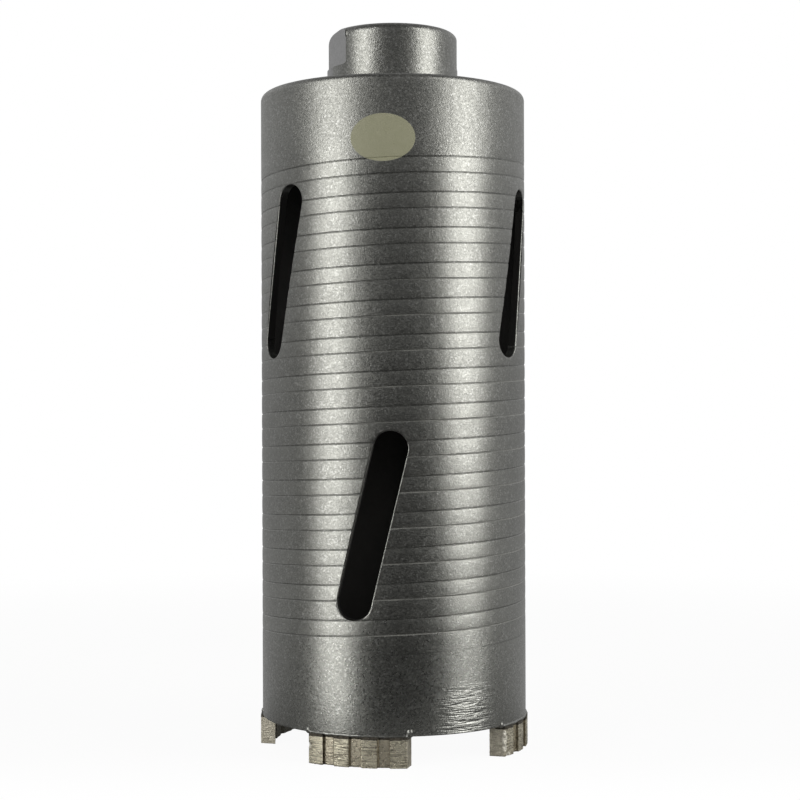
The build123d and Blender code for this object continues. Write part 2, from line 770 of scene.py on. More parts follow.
@dataclass(frozen=True)
class TurnedPaint(MetallicPaint):
    """The same paint over the turned spiral, with a plain pale printed patch.

    Painted shade darkens the spiral's lines. Low down, from the front round to the right, the second
    line is pale: dust, and at the front a painted reflection. One land of each pair between the lines
    is painted lighter: painted light. The foot is a little smoother, the head a little duller. Heights
    are measured from the rim.
    """

    name: str = "turned_paint"
    spiral: Spiral = Spiral()
    rim: float = 7.1 * MM
    radius: float = 32.0 * MM
    line_half_width: float = 0.22 * MM
    line_fade: float = 1.0 * MM
    # Painted shade: the near-black that darkens the spiral's lines.
    groove_shade: Colour = grey(0.03)
    groove_shade_cover: float = 0.42
    fill_size: float = 5.0 * MM
    fill_limits: Span = (0.3, 0.6)
    fill_least: float = 0.4
    # Pale fill of the second line: dust, and at the front a painted reflection.
    dust_and_reflection: Colour = (0.26, 0.26, 0.245, 1.0)
    pale_fill_shares: Span = (0.1, 0.9)
    pale_fill_top: float = 85.0 * MM
    pale_fill_fade: float = 30.0 * MM
    pale_fill_side: float = -12.0
    pale_fill_soft: float = 10.0
    pale_fill_cover: float = 0.9
    pale_fill_roughness: float = 0.2
    # Painted light: how far one land of each pair is lightened.
    land_painted_light: float = 0.16
    land_soft: float = 0.01
    brushing_size: float = 4.5 * MM
    brushing_stretch: float = 16.0
    brushing_height: float = 0.012 * MM
    foot_top: float = 36.0 * MM
    foot_polish: float = 0.045
    head_fade: float = 5.0 * MM
    head_dull: float = 0.04
    crease_sides: Span = (18.0, 43.0)
    crease_soft: float = 8.0
    crease_heights: Span = (6.0 * MM, 13.0 * MM)
    crease_size: float = 8.0 * MM
    crease_stretch: float = 8.0
    crease_sharpness: float = 5.0
    crease_height: float = 0.11 * MM
    patch: Colour = (0.36, 0.36, 0.24, 1.0)
    patch_light: Colour = (0.43, 0.42, 0.30, 1.0)
    patch_mottle: float = 1.2 * MM
    patch_azimuth: float = -4.0
    patch_height: float = 135.3 * MM
    patch_half_width: float = 7.4 * MM
    patch_half_height: float = 5.4 * MM
    patch_edge: Span = (1.04, 0.99)
    ragged_size: float = 0.5 * MM
    ragged: float = 0.03
    patch_roughness: float = 0.15
    covered_metallic: float = 0.1

    def make(self) -> bpy.types.Material:
        """Builds the material.

        Returns:
            The material.
        """
        graph, made = Graph.material(self.name)
        x, y, z = graph.axes()
        turn = graph.node("ShaderNodeMath", {"operation": "ARCTAN2"}, {0: x, 1: y * -1})
        height = z - self.rim
        groove_shade, dust_and_reflection, land = self._lines(graph, turn, height)
        patch = self._patch(graph, turn, height)
        # Painted light: one land of each pair is lightened.
        colour = graph.blend(land * self.land_painted_light, self.colour(graph), self.light)
        # Painted shade in the spiral's lines.
        colour = graph.blend(groove_shade * self.groove_shade_cover, colour, self.groove_shade)
        # The pale second line: dust, and at the front a painted reflection.
        colour = graph.blend(dust_and_reflection, colour, self.dust_and_reflection)
        mottle = graph.noise(self.patch_mottle, detail=3.0)
        print_colour = graph.blend(mottle, self.patch, self.patch_light)
        top = self.spiral.ends[1][1]
        roughness = self.sheen(graph) + patch * self.patch_roughness + dust_and_reflection * self.pale_fill_roughness
        roughness = roughness - height.ramp(self.foot_top, 0.0) * self.foot_polish
        roughness = roughness + height.ramp(top, top + self.head_fade) * self.head_dull
        cover = patch.most(dust_and_reflection * self.pale_fill_cover)
        graph.finish(
            Base_Color=graph.blend(patch, colour, print_colour),
            Metallic=self.metallic - cover * (self.metallic - self.covered_metallic),
            Roughness=roughness,
            Normal=self._creases(graph, turn, height),
        )
        return made

    def _patch(self, graph: Graph, turn: Wire, height: Wire) -> Wire:
        """The plain oval patch of pale print.

        Args:
            graph: The material's graph.
            turn: Azimuth in radians.
            height: Height above the rim.

        Returns:
            Share of the print.
        """
        across = (turn - math.radians(self.patch_azimuth)) * (self.radius / self.patch_half_width)
        up = (height - self.patch_height) / self.patch_half_height
        ragged = graph.noise(self.ragged_size) * self.ragged
        return (across * across + up * up + ragged).ramp(*self.patch_edge)

    def _lines(self, graph: Graph, turn: Wire, height: Wire) -> tuple[Wire, Wire, Wire]:
        """Where the turned lines and the land between them lie.

        Args:
            graph: The material's graph.
            turn: Azimuth in radians.
            height: Height above the rim.

        Returns:
            Shares of painted shade in the lines, of the pale second line (dust, and a painted
            reflection at the front), and of the land, which is painted lighter as painted light.
        """
        spiral = self.spiral
        along = (height - spiral.first_line) / spiral.lead - turn / TAU
        edge = spiral.gap / spiral.lead
        low, high = spiral.ends[1]
        inside = height.ramp(low - self.line_fade, low) * height.ramp(high + self.line_fade, high)
        filled = graph.noise(self.fill_size).ramp(*self.fill_limits)
        filled = (filled * (1 - self.fill_least) + self.fill_least) * inside
        offsets = (((along + (0.5 - start)).part() - 0.5) * spiral.lead for start in (0.0, edge))
        first, second = (off.size().ramp(self.line_half_width, 0.0) * filled for off in offsets)
        land = along.part().ramp(edge - self.land_soft, edge + self.land_soft) * inside
        side, soft = math.radians(self.pale_fill_side), math.radians(self.pale_fill_soft)
        least, most = self.pale_fill_shares
        # Where the second line is pale: dust, and at the front a painted reflection.
        pale_fill = height.ramp(self.pale_fill_top + self.pale_fill_fade, self.pale_fill_top)
        pale_fill = pale_fill * turn.ramp(side - soft, side + soft) * (most - least) + least
        # Painted shade in both lines, less in the second where it is pale.
        return first + second * (most - pale_fill), second * pale_fill, land

    def _creases(self, graph: Graph, turn: Wire, height: Wire) -> Wire:
        """The grain over faint brushing, and over creases where the coat ran at the foot.

        Args:
            graph: The material's graph.
            turn: Azimuth in radians.
            height: Height above the rim.

        Returns:
            The normal.
        """
        left, right = (math.radians(side) for side in self.crease_sides)
        soft = math.radians(self.crease_soft)
        low, high = self.crease_heights
        where = turn.ramp(left - soft, left + soft) * turn.ramp(right + soft, right - soft)
        where = where * height.ramp(high, low)
        fold = graph.noise(self.crease_size, rough=0.6, stretch=self.crease_stretch)
        ridge = 1 - ((fold - 0.5) * self.crease_sharpness).size()
        strokes = graph.noise(self.brushing_size, detail=3.0, stretch=self.brushing_stretch)
        brushed = graph.bump(strokes, self.brushing_height, self.relief(graph))
        return graph.bump(ridge * where, self.crease_height, brushed)


@dataclass(frozen=True)
class BareSteel:
    """Steel without paint: stains in its colour, fine marks in its gloss and surface."""

    name: str
    dark: Colour
    light: Colour
    metallic: float
    roughness: float
    stain_size: float
    mark_size: float
    mark_stretch: float
    mark_height: float
    roughness_spread: float = 0.2

    def make(self) -> bpy.types.Material:
        """Builds the material.

        Returns:
            The material.
        """
        graph, made = Graph.material(self.name)
        stains = graph.noise(self.stain_size, detail=4.0)
        marks = graph.noise(self.mark_size, detail=3.0, stretch=self.mark_stretch)
        graph.finish(
            Base_Color=graph.blend(stains, self.dark, self.light),
            Metallic=self.metallic,
            Roughness=self.roughness + self.roughness_spread * marks,
            Normal=graph.bump(marks, self.mark_height),
        )
        return made


@dataclass(frozen=True)
class SinteredMetal:
    """Sintered metal with diamond grit: one look for each way it was worked, and some that are painted
    shade, shadow or highlight.
    """

    name: str
    dark: Colour = (0.24, 0.213, 0.163, 1.0)
    light: Colour = (0.93, 0.87, 0.7, 1.0)
    metallic: float = 0.97
    roughness: float = 0.3
    roughness_spread: float = 0.3
    strokes: float = 0.7
    stroke_size: float = 3.0 * MM
    stroke_stretch: float = 9.0
    stroke_limits: Span = (0.4, 0.58)
    stroke_height: float = 0.025 * MM
    mottle_size: float = 0.8 * MM
    mottle_limits: Span = (0.3, 0.7)
    grit_size: float = 0.28 * MM
    grit_share: float = 0.15
    pitting: float = 0.02 * MM

    def make(self) -> bpy.types.Material:
        """Builds the material.

        Returns:
            The material.
        """
        graph, made = Graph.material(self.name)
        grit = graph.cells(self.grit_size)
        mottle = graph.noise(self.mottle_size, detail=4.0, rough=0.65)
        drawn = graph.noise(self.stroke_size, detail=5.0, rough=0.7, stretch=self.stroke_stretch)
        drawn = drawn.ramp(*self.stroke_limits)
        mottle_share = 1 - self.grit_share - self.strokes
        share = drawn * self.strokes + mottle.ramp(*self.mottle_limits) * mottle_share
        relief = graph.bump(drawn, self.stroke_height)
        graph.finish(
            Base_Color=graph.blend(share + grit * self.grit_share, self.dark, self.light),
            Metallic=self.metallic,
            Roughness=self.roughness + self.roughness_spread * (mottle - 0.5),
            Normal=graph.bump(grit + mottle, self.pitting, relief),
        )
        return made


class SegmentFace(Enum):
    """The kinds of face on a segment, each with its finish; three of them carry painted shade, shadow
    or highlight.
    """

    RIB = SinteredMetal("ground_ribs")
    CHANNEL = SinteredMetal(
        "pressed_channels", dark=(0.42, 0.375, 0.295, 1.0), light=(0.74, 0.68, 0.545, 1.0),
        roughness=0.29, strokes=0.15, stroke_height=0.02 * MM,
    )
    # Painted shade: darker brown on the rib walls and along the channels' edges.
    WALL = SinteredMetal(
        "walls_painted_shade", dark=(0.14, 0.12, 0.08, 1.0), light=(0.42, 0.37, 0.275, 1.0),
        metallic=0.8, strokes=0.2, stroke_height=0.02 * MM,
    )
    END = SinteredMetal(
        "worn_ends", dark=(0.42, 0.385, 0.31, 1.0), light=(0.88, 0.83, 0.7, 1.0),
        metallic=0.7, roughness=0.42, strokes=0.3,
    )
    INSIDE = SinteredMetal(
        "inner_face", dark=(0.22, 0.21, 0.17, 1.0), light=(0.44, 0.42, 0.34, 1.0),
        metallic=0.4, roughness=0.5, strokes=0.2, stroke_height=0.02 * MM,
    )
    # Painted highlight: bright faces round each chip.
    BREAK = SinteredMetal(
        "chip_highlights", dark=(0.62, 0.58, 0.49, 1.0), light=(0.97, 0.94, 0.85, 1.0),
        metallic=0.4, roughness=0.45, strokes=0.0, pitting=0.04 * MM,
    )
    # Painted shadow: near-black along the top of the outer faces, under the bead.
    TOP = SinteredMetal(
        "shadow_under_bead", dark=(0.02, 0.018, 0.014, 1.0), light=(0.14, 0.125, 0.1, 1.0),
        metallic=0.5, roughness=0.6, strokes=0.0, pitting=0.04 * MM,
    )


# ---------------------------------------------------------------- the part


@dataclass
class Barrel:
    """Tube with a two-start turned spiral and two rows of slanted slots.

    A line's profile is pairs of millimetres along the barrel and into it. A row of slots is their
    length, the height of their middle above the rim and the azimuth of the first.
    """

    radius: float = 32.0 * MM
    bore: float = 30.0 * MM
    rim: float = 7.1 * MM
    top: float = 157.1 * MM
    top_radius: float = 1.6 * MM
    rim_radius: float = 0.35 * MM
    bore_edge: float = 0.3 * MM
    bore_skin: float = 0.2 * MM
    seam: Span = (153.1 * MM, 153.6 * MM)
    steps: int = 144
    spiral: Spiral = Spiral()
    turns: int = 17
    line_profile: tuple[Span, ...] = (
        (-0.42, 0.03), (-0.2, 0.045), (-0.05, 0.17), (0.05, 0.17), (0.2, 0.045), (0.42, 0.03),
    )
    line_scales: Span = (1.0, 0.85)
    land_crown: float = 0.009 * MM
    run_out: float = 0.9 * MM
    band: Span = (23.6 * MM, 143.1 * MM)
    band_merge: float = 0.02 * MM
    slot_width: float = 8.0 * MM
    slot_slant: float = 13.5
    slot_rows: tuple = ((44.0 * MM, 47.6 * MM, -9.0), (41.0 * MM, 106.0 * MM, -55.2))
    slots_in_row: int = 3
    slot_points: int = 64
    lip: float = 0.28 * MM
    lip_angles: tuple[float, ...] = (22.0, 45.0, 68.0, 90.0)
    lip_margin: float = 0.1
    lip_sink: float = 0.03
    clearance: float = 1.0 * MM
    smooth_angle: float = 32.0

    def _turned_band(self) -> Workpiece:
        """Winds the outer skin with its spiral lines and trims it level at both ends.

        Returns:
            The skin.
        """
        gap, lead = self.spiral.gap, self.spiral.lead
        wide, crown = (lead - gap) / 2, self.land_crown
        stations: list[Span] = [(-wide, 0.0)]
        for centre, before, after, scale in zip(
            (0.0, gap), (wide, gap / 2), (gap / 2, wide), self.line_scales
        ):
            stations.append((centre - before / 2, crown))
            stations += [(centre + at * MM, depth * scale * MM) for at, depth in self.line_profile]
            stations += [(centre + after / 2, crown), (centre + after, 0.0)]
        base = self.rim + self.spiral.first_line - lead
        points = [around(0, self.radius - depth, base + rise) for rise, depth in stations]
        skin = Workpiece.outline("turned_barrel", points)
        skin.wind(lead, self.turns, self.steps)
        self._fade_lines(skin)
        with skin.editing():
            for level, way in zip(self.band, (-1, 1)):
                skin.trim((0, 0, level), (0, 0, way), fill=False)
                skin.pick_vertices(lambda p, level=level: level_with(level, p))
                bpy.ops.mesh.remove_doubles(threshold=self.band_merge)
        return skin

    def _fade_lines(self, skin: Workpiece) -> None:
        """Runs the spiral lines out to nothing at their ends.

        Args:
            skin: The outer skin.
        """
        base = self.rim + self.spiral.first_line
        gap, lead = self.spiral.gap, self.spiral.lead

        def weight(place: Vector) -> float:
            """1 beyond the ends of the nearer line, 0 between them."""
            phase = ((place.z - base) / lead - azimuth_of(place) / 360) % 1.0 * lead
            second = abs(phase - gap) < gap / 2
            low, high = (self.rim + end for end in self.spiral.ends[int(second)])
            return 1 - eased(min(place.z - low, high - place.z) / self.run_out)

        skin.modify(
            "CAST", cast_type="CYLINDER", use_z=False, factor=1.0, radius=0.0, size=self.radius,
            use_radius_as_size=False, vertex_group=skin.weigh("run_out", weight),
        )

    def _close(self, skin: Workpiece) -> None:
        """Draws the foot, the head and the bore from the outer skin.

        Args:
            skin: The outer skin.
        """
        low, high = self.band
        edge, lip, dome = self.bore_edge, self.rim_radius, self.top_radius
        foot = [(self.radius, low)]
        foot += arc((self.radius - lip, self.rim + lip), lip, 0, -90, 4)
        foot += arc((self.bore + edge, self.rim + edge), edge, -90, -180, 3)
        foot.append((self.bore, self.seam[0]))
        head = [(self.radius, high)]
        head += arc((self.radius - dome, self.top - dome), dome, 0, 90, 8)
        head += [(self.bore + edge, self.top), (self.bore, self.top - edge)]
        head.append((self.bore, self.seam[1]))
        wall = (self.radius + self.bore) / 2
        with skin.editing("EDGE"):
            for level, path in ((low, foot), (high, head)):
                skin.pick_edges(lambda a, b, level=level: level_with(level, a, b))
                skin.run_on(path)
            skin.pick_edges(
                lambda a, b: distance_of(a) < wall
                and any(level_with(level, a, b) for level in self.seam)
            )
            bpy.ops.mesh.bridge_edge_loops()
        skin.face_outwards()

    def _slot_tool(self, length: float, height: float, azimuth: float) -> Workpiece:
        """Cutter for one slot, its mouth flared to leave a rounded lip.

        Args:
            length: Slot length over its round ends.
            height: Height of its middle above the rim.
            azimuth: Where it is round the barrel.

        Returns:
            The cutter.
        """
        tool = Workpiece.primitive(
            "slot_tool", "circle", vertices=self.slot_points, fill_type="NGON",
            radius=self.slot_width / 2 + (1 + self.lip_margin) * self.lip,
            rotation=(math.pi / 2, math.pi / self.slot_points, 0),
            location=(0, -self.radius - self.clearance, 0),
        )
        half = (length - self.slot_width) / 2
        with tool.editing():
            for side in (1, -1):
                tool.pick_vertices(lambda p, side=side: p.z * side > 0)
                bpy.ops.transform.translate(value=(0, 0, side * half))
        self._flare(tool)
        tool.shape.data.transform(Matrix.Rotation(math.radians(self.slot_slant), 4, "Y"))
        for vertex in tool.shape.data.vertices:
            vertex.co.y = -math.sqrt(vertex.co.y**2 - vertex.co.x**2)
        tool.shape.data.transform(Matrix.Translation((0, 0, self.rim + height)))
        tool.face_outwards()
        return tool.turned(azimuth)

    def _flare(self, tool: Workpiece) -> None:
        """Draws the cutter's flat face in, through its lip, to behind the wall.

        Args:
            tool: The cutter's face.
        """
        lip = self.lip
        width, depth = lip * (1 + self.lip_margin), -self.lip_sink * lip
        with tool.editing("FACE"):
            tool.pick_all()
            tool.draw_out((0, self.clearance - depth, 0))
            for angle in self.lip_angles:
                turn = math.radians(angle)
                next_width, next_depth = lip * (1 - math.sin(turn)), lip * (1 - math.cos(turn))
                bpy.ops.mesh.inset(thickness=width - next_width, depth=0)
                bpy.ops.transform.translate(value=(0, next_depth - depth, 0))
                width, depth = next_width, next_depth
            tool.draw_out((0, self.radius - self.bore + 2 * self.clearance, 0))

    def build(self) -> None:
        """Turns the tube, cuts its slots and smooths it."""
        skin = self._turned_band()
        self._close(skin)
        tools = [
            self._slot_tool(length, height, azimuth + index * 360 / self.slots_in_row)
            for length, height, azimuth in self.slot_rows
            for index in range(self.slots_in_row)
        ]
        skin.cut(*tools)
        # Dark bare steel in the bore, so near black that it is also painted shade of the closed
        # chamber.
        bore_coat_and_shade = BareSteel(
            "bore_steel_and_painted_shade", dark=grey(0.03), light=grey(0.06, 0.05), metallic=0.3, roughness=0.62,
            stain_size=9 * MM, mark_size=0.6 * MM, mark_stretch=1.0, mark_height=0.03 * MM,
        )
        inside = self.bore + self.bore_skin
        skin.dress(
            (TurnedPaint().make(), bore_coat_and_shade.make()),
            lambda p, n: int(distance_of(p) < inside and n.xy.dot(p.xy) < 0),
        )
        skin.polish(self.smooth_angle)
        skin.hand_over(Slot.BARREL, "barrel")


@dataclass
class Hub:
    """Turned end piece: flange, boss with two spanner flats, and a G 1/2 thread.

    The thread's form is where its crest ends, its flank begins and ends, and its root begins, in
    quarters of the pitch from the middle of the crest.
    """

    axis_start: float = 0.02 * MM
    flange_radius: float = 29.95 * MM
    flange_bottom: float = 150.0 * MM
    flange_top: float = 157.1 * MM
    flange_edge: float = 0.3 * MM
    boss_radius: float = 15.85 * MM
    boss_top: float = 172.1 * MM
    boss_edge: float = 2.0 * MM
    boss_foot: float = 0.8 * MM
    across_flats: float = 28.0 * MM
    flat_azimuth: float = -72.0
    flat_start: float = 6.0 * MM
    flat_corner: float = 0.6 * MM
    flat_squareness: float = 0.99
    nick_height: float = 170.3 * MM
    nick_radius: float = 0.6 * MM
    nick_stretch: float = 1.6
    major: float = 20.955 * MM
    minor: float = 18.631 * MM
    pitch: float = 1.814 * MM
    thread_form: tuple[float, ...] = (0.5, 0.72, 1.68, 1.9)
    crest_ease: float = 0.08 * MM
    root_ease: float = 0.1 * MM
    spare_threads: int = 3
    lead_in: float = 0.3 * MM
    clearance: float = 0.5 * MM
    steps: int = 128
    thread_steps: int = 72
    smooth_angle: float = 28.0

    def _blank(self) -> Workpiece:
        """The turned blank, closed at its axis.

        Returns:
            The blank.
        """
        edge, foot, dome = self.flange_edge, self.boss_foot, self.boss_edge
        shoulder = self.flange_radius - edge
        profile = [(self.axis_start, self.flange_bottom)]
        profile += arc((shoulder, self.flange_bottom + edge), edge, -90, 0, 3)
        profile += arc((shoulder, self.flange_top - edge), edge, 0, 90, 3)
        profile += arc((self.boss_radius + foot, self.flange_top + foot), foot, -90, -180, 4)
        profile += arc((self.boss_radius - dome, self.boss_top - dome), dome, 0, 90, 8)
        profile.append((self.axis_start, self.boss_top))
        points = [around(0, radius, height) for radius, height in profile]
        blank = Workpiece.outline("tapped_hub", points)
        with blank.editing():
            blank.pick_all()
            bpy.ops.mesh.spin(
                steps=self.steps, angle=TAU, center=(0, 0, 0), axis=(0, 0, 1), use_auto_merge=True
            )
            for level in (self.flange_bottom, self.boss_top):
                blank.pick_vertices(
                    lambda p, level=level: level_with(level, p)
                    and distance_of(p) < 2 * self.axis_start
                )
                bpy.ops.mesh.merge(type="CENTER")
        blank.face_outwards()
        return blank

    def _flat_tools(self) -> list[Workpiece]:
        """Two blocks that mill the spanner flats.

        Returns:
            The blocks.
        """
        depth, height = self.boss_radius, self.boss_top - self.flange_top
        middle = around(0, (self.across_flats + depth) / 2, 0)
        middle.z = self.flange_top + self.flat_start + height / 2
        tools = []
        for side in (0, 180):
            tool = Workpiece.primitive(
                "flat_tool", "cube", size=1, location=middle,
                scale=(2 * self.flange_radius, depth, height),
            )
            with tool.editing("EDGE"):
                tool.pick_edges(
                    lambda a, b: max(a.z, b.z) < middle.z and min(a.y, b.y) > middle.y
                )
                bpy.ops.mesh.bevel(offset=self.flat_corner, segments=4, affect="EDGES")
            tools.append(tool.turned(self.flat_azimuth + side))
        return tools

    def _nick_tool(self) -> Workpiece:
        """The small knock at the top of one flat's edge.

        Returns:
            The shape that it takes away.
        """
        corner = math.degrees(math.acos(self.across_flats / 2 / self.boss_radius))
        return Workpiece.primitive(
            "nick", "ico_sphere", subdivisions=2, radius=self.nick_radius,
            scale=(1, 1, self.nick_stretch),
            location=around(self.flat_azimuth + corner, self.boss_radius, self.nick_height),
        )

    def _tap(self) -> Workpiece:
        """The shape of the thread's space, closed at both ends.

        Returns:
            The tap.
        """
        crest, root = self.minor / 2, self.major / 2
        radii = (crest, crest, crest + self.crest_ease, root - self.root_ease, root)
        rising = list(zip(radii, (0.0, *self.thread_form)))
        falling = [(radius, 4 - rise) for radius, rise in reversed(rising)]
        start = self.flange_bottom - self.spare_threads * self.pitch
        points = [
            around(0, radius, start + rise * self.pitch / 4) for radius, rise in rising + falling
        ]
        tap = Workpiece.outline("tap", points)
        turns = math.ceil((self.boss_top - start) / self.pitch) + 1
        tap.wind(self.pitch, turns, self.thread_steps)
        with tap.editing():
            tap.trim((0, 0, self.flange_bottom - 2 * self.clearance), (0, 0, -1))
            tap.trim((0, 0, self.boss_top + self.clearance), (0, 0, 1))
        tap.face_outwards()
        return tap

    def _countersinks(self) -> list[Workpiece]:
        """Cones for the lead-in at both mouths of the thread.

        Returns:
            The cones.
        """
        small, mouth = self.minor / 2, self.major / 2 + self.lead_in
        depth, extra = mouth - small, self.clearance
        tools = []
        for level, out in ((self.boss_top, 1), (self.flange_bottom, -1)):
            lower, upper = (small, mouth + extra)[::out]
            tools.append(
                Workpiece.primitive(
                    "countersink", "cone", vertices=self.steps, radius1=lower, radius2=upper,
                    depth=depth + extra, location=(0, 0, level + out * (extra - depth) / 2),
                )
            )
        return tools

    def build(self) -> None:
        """Turns the blank, mills its flats, taps it and smooths it."""
        hub = self._blank()
        hub.cut(*self._flat_tools())
        hub.cut(self._nick_tool())
        hub.cut(self._tap(), *self._countersinks())
        round_paint = MetallicPaint(
            "hub_paint", dark=(0.188, 0.189, 0.18, 1.0), light=(0.335, 0.337, 0.319, 1.0),
            grain_height=0.055 * MM,
        )
        thread = BareSteel(
            "thread_steel", dark=grey(0.16), light=grey(0.34, 0.04), metallic=0.9, roughness=0.3,
            stain_size=3 * MM, mark_size=4 * MM, mark_stretch=30.0, mark_height=0.01 * MM,
        )
        flat_paint = MetallicPaint(
            "flat_paint", dark=grey(0.27), light=grey(0.34), sparkle=0.05, grain_height=0.01 * MM
        )
        square = around(self.flat_azimuth, 1.0, 0.0)
        bore = self.major / 2 + 10 * NEAR

        def kind(place: Vector, normal: Vector) -> int:
            """Number of the finish of a face: round sides, thread or flats."""
            flat = abs(normal.dot(square)) > self.flat_squareness
            return 2 if flat else int(distance_of(place) < bore)

        hub.dress([finish.make() for finish in (round_paint, thread, flat_paint)], kind)
        hub.polish(self.smooth_angle)
        hub.hand_over(Slot.HUB, "hub")


@dataclass
class Segments:
    """Four sintered segments, ribbed outside and channelled inside, under beads of weld.

    Chips, leans and gloss have one value for each segment. One chip in edge_chips lies on the
    cutting edge, the others on one corner. The bead's two rings lie a little under the barrel's
    faces, and a lump of weld closes them at each end of the segment.
    """

    first_azimuth: float = -16.5
    length: float = 23.5 * MM
    height: float = 7.1 * MM
    cutting_radius: float = 32.5 * MM
    channel_radius: float = 31.7 * MM
    core_radius: float = 29.0 * MM
    inner_channel_radius: float = 29.5 * MM
    ribs: int = 4
    rib_width: float = 3.8 * MM
    inner_channel_width: float = 2.2 * MM
    step: float = 0.6 * MM
    voxel: float = 0.15 * MM
    wear: int = 3
    pits: Span = (0.5 * MM, 0.09 * MM)
    pit_seed: float = 7.3 * MM
    chips: tuple[int, ...] = (2, 9, 4, 5)
    edge_chips: int = 3
    chip_sizes: Span = (0.35 * MM, 0.75 * MM)
    chip_heights: Span = (0.4 * MM, 6.2 * MM)
    chip_below: float = -0.1 * MM
    chip_out: float = 0.2
    chip_turns: Span = (0.0, 3.0)
    chip_shape: Triple = (0.8, 0.8, 1.6)
    chip_reach: float = 1.5
    # Width of the painted shade along the channels' edges.
    corner_shade: float = 0.32 * MM
    # Depth of the painted shadow under the bead.
    bead_shadow_depth: float = 0.68 * MM
    end_depth: float = 0.35 * MM
    end_slope: float = 0.55
    wall_slope: float = 0.45
    down_slope: float = -0.6
    leans: tuple[float, ...] = (0.4, 0.0, 0.0, 0.0)
    gloss: tuple[float, ...] = (0.97, 0.8, 0.9, 0.9)
    barrel_radius: float = 32.0 * MM
    bore: float = 30.0 * MM
    bead: float = 0.5 * MM
    bead_sinks: Span = (0.06 * MM, 0.1 * MM)
    bead_lift: float = 0.12 * MM
    bead_faces: tuple[int, int] = (180, 10)
    bead_voxel: float = 0.12 * MM
    bead_relief: Span = (1.6 * MM, 0.25 * MM)
    bead_past_end: float = 0.22 * MM
    bead_end_sink: float = 0.2 * MM
    blob: float = 0.9 * MM
    blob_sink: float = 0.12 * MM
    blob_lifts: Span = (0.45 * MM, 1.0 * MM)
    blob_shape: Triple = (1, 0.85, 1.1)
    smooth_angle: float = 50.0

    @property
    def _pitch(self) -> float:
        """Distance from one rib to the next."""
        return (self.length - self.rib_width) / (self.ribs - 1)

    def _side(self, spans: Sequence[tuple[float, float, float]]) -> list[Vector]:
        """Points along one side of the segment.

        Args:
            spans: Start, end and radius of each arc of it.

        Returns:
            The points, in plan.
        """
        points = []
        for start, end, radius in spans:
            count = math.ceil(abs(end - start) / self.step)
            for index in range(count + 1):
                across = start + (end - start) * index / count
                points.append(Vector((across, -math.sqrt(radius**2 - across**2), 0)))
        return points

    def _blank(self) -> Workpiece:
        """One segment as pressed, in front of the axis.

        Returns:
            The segment.
        """
        half, pitch = self.length / 2, self._pitch
        outer, inner = [], []
        for index in range(self.ribs):
            start = -half + index * pitch
            outer.append((start, start + self.rib_width, self.cutting_radius))
            outer.append((start + self.rib_width, start + pitch, self.channel_radius))
        last = half
        for index in range(self.ribs - 1):
            middle = (self.ribs / 2 - 1 - index) * pitch
            start = middle + self.inner_channel_width / 2
            end = middle - self.inner_channel_width / 2
            inner += [(last, start, self.core_radius), (start, end, self.inner_channel_radius)]
            last = end
        inner.append((last, -half, self.core_radius))
        points = self._side(outer[:-1]) + self._side(inner)
        blank = Workpiece.outline("segment_blank", points)
        ends = (points[0], points[-1])
        with blank.editing():
            blank.pick_vertices(lambda p: any((p - end).length < NEAR for end in ends))
            bpy.ops.mesh.edge_face_add()
            blank.pick_all()
            bpy.ops.mesh.edge_face_add()
            blank.draw_out((0, 0, self.height))
        blank.face_outwards()
        return blank

    def _wear(self, segment: Workpiece, number: int) -> list[Break]:
        """Chips the corners and the cutting edge, rounds every edge a little and pits the faces.

        Args:
            segment: One segment, still in front of the axis.
            number: Its number, which sets the chips and pits.

        Returns:
            Place and reach of each chip.
        """
        breaks = []
        half = self.length / 2
        dice = random.Random(number)
        for index in range(self.chips[number - 1]):
            radius = dice.uniform(*self.chip_sizes)
            across, height = -half, dice.uniform(*self.chip_heights)
            if index % self.edge_chips == 0:
                across, height = dice.uniform(-half, half), self.chip_below
            out = math.sqrt((self.cutting_radius + self.chip_out * radius) ** 2 - across**2)
            place = Vector((across, -out, height))
            breaks.append((place, self.chip_reach * radius))
            tilt, twist = dice.uniform(*self.chip_turns), dice.uniform(*self.chip_turns)
            segment.cut(Workpiece.primitive(
                "chip", "ico_sphere", subdivisions=1, radius=radius, location=place,
                rotation=(tilt, twist, 0), scale=self.chip_shape,
            ))
        segment.melt(self.voxel, self.wear)
        segment.roughen(*self.pits, seed=number * self.pit_seed)
        return breaks

    def _coats(self, number: int) -> list[bpy.types.Material]:
        """The finishes of one segment, in the order of SegmentFace.

        Args:
            number: The segment's number, which sets the gloss of its ribs and channels.

        Returns:
            The materials.
        """
        coats = []
        for face in SegmentFace:
            finish = replace(face.value, name=f"{face.value.name}_{number}")
            if face in (SegmentFace.RIB, SegmentFace.CHANNEL):
                finish = replace(finish, metallic=self.gloss[number - 1])
            coats.append(finish.make())
        return coats

    def _kind(self, place: Vector, normal: Vector, breaks: Sequence[Break]) -> SegmentFace:
        """Says what kind of face one is, with the segment still in front of the axis.

        Args:
            place: Middle of the face.
            normal: Its normal.
            breaks: Place and reach of each chip.

        Returns:
            Its kind.
        """
        half, out = self.length / 2, distance_of(place)
        middle = (self.channel_radius + self.core_radius) / 2
        # Painted highlight on the faces round each chip.
        if any((place - centre).length < reach for centre, reach in breaks):
            return SegmentFace.BREAK
        # Painted shadow under the bead, along the top of the outer faces.
        if place.z > self.height - self.bead_shadow_depth and out > middle:
            return SegmentFace.TOP
        at_end = abs(normal.x) > self.end_slope and half - abs(place.x) < self.end_depth
        if normal.z < self.down_slope or at_end:
            return SegmentFace.END
        if out < middle:
            return SegmentFace.INSIDE
        if abs(normal.x - place.x / out) > self.wall_slope:
            return SegmentFace.WALL
        if out > (self.cutting_radius + self.channel_radius) / 2:
            return SegmentFace.RIB
        across = (place.x + half) % self._pitch
        # Painted shade along the channels' edges, next to the rib walls.
        in_corner_shade = min(across - self.rib_width, self._pitch - across) < self.corner_shade
        return SegmentFace.WALL if in_corner_shade else SegmentFace.CHANNEL

